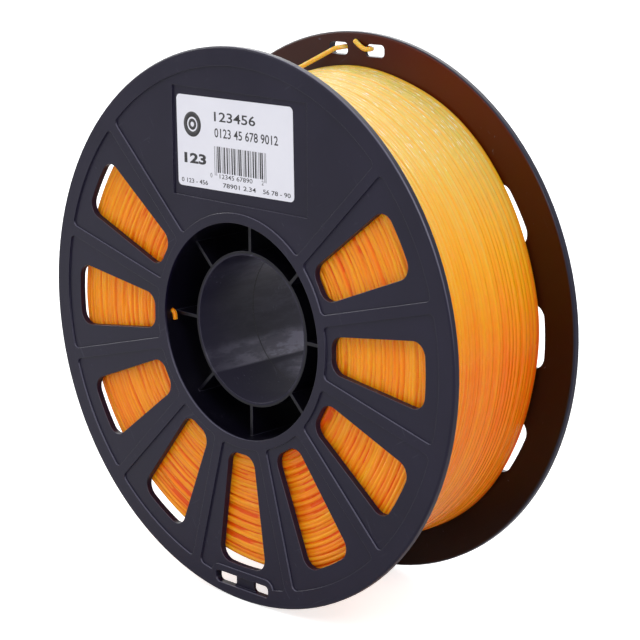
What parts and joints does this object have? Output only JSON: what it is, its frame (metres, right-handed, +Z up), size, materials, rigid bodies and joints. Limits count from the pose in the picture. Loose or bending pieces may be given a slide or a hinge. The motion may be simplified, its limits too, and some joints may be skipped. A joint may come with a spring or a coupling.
{
  "type": "filament spool",
  "caption": "Spool of two moulded halves with windowed flanges and a plain bore, wound with plastic filament for a 3D printer; its end is threaded through tie slots.",
  "frame": {"origin": "centre of the bore, midway between the flanges' outer faces", "axes": "+Y along the bore away from the labelled flange, +Z up towards the label, +X to the right seen from the label's side"},
  "size_m": [0.2, 0.065, 0.2],
  "materials": {
    "moulding": "satin moulded plastic, very dark grey",
    "filament": "smooth, slightly translucent orange",
    "paper": "smooth coated paper"
  },
  "bodies": {
    "root": {"front_half": "moulding", "rear_half": "moulding", "filament_winding": "filament", "filament_tail": "filament", "filament_start": "filament", "label": "paper"}
  },
  "joints": []
}
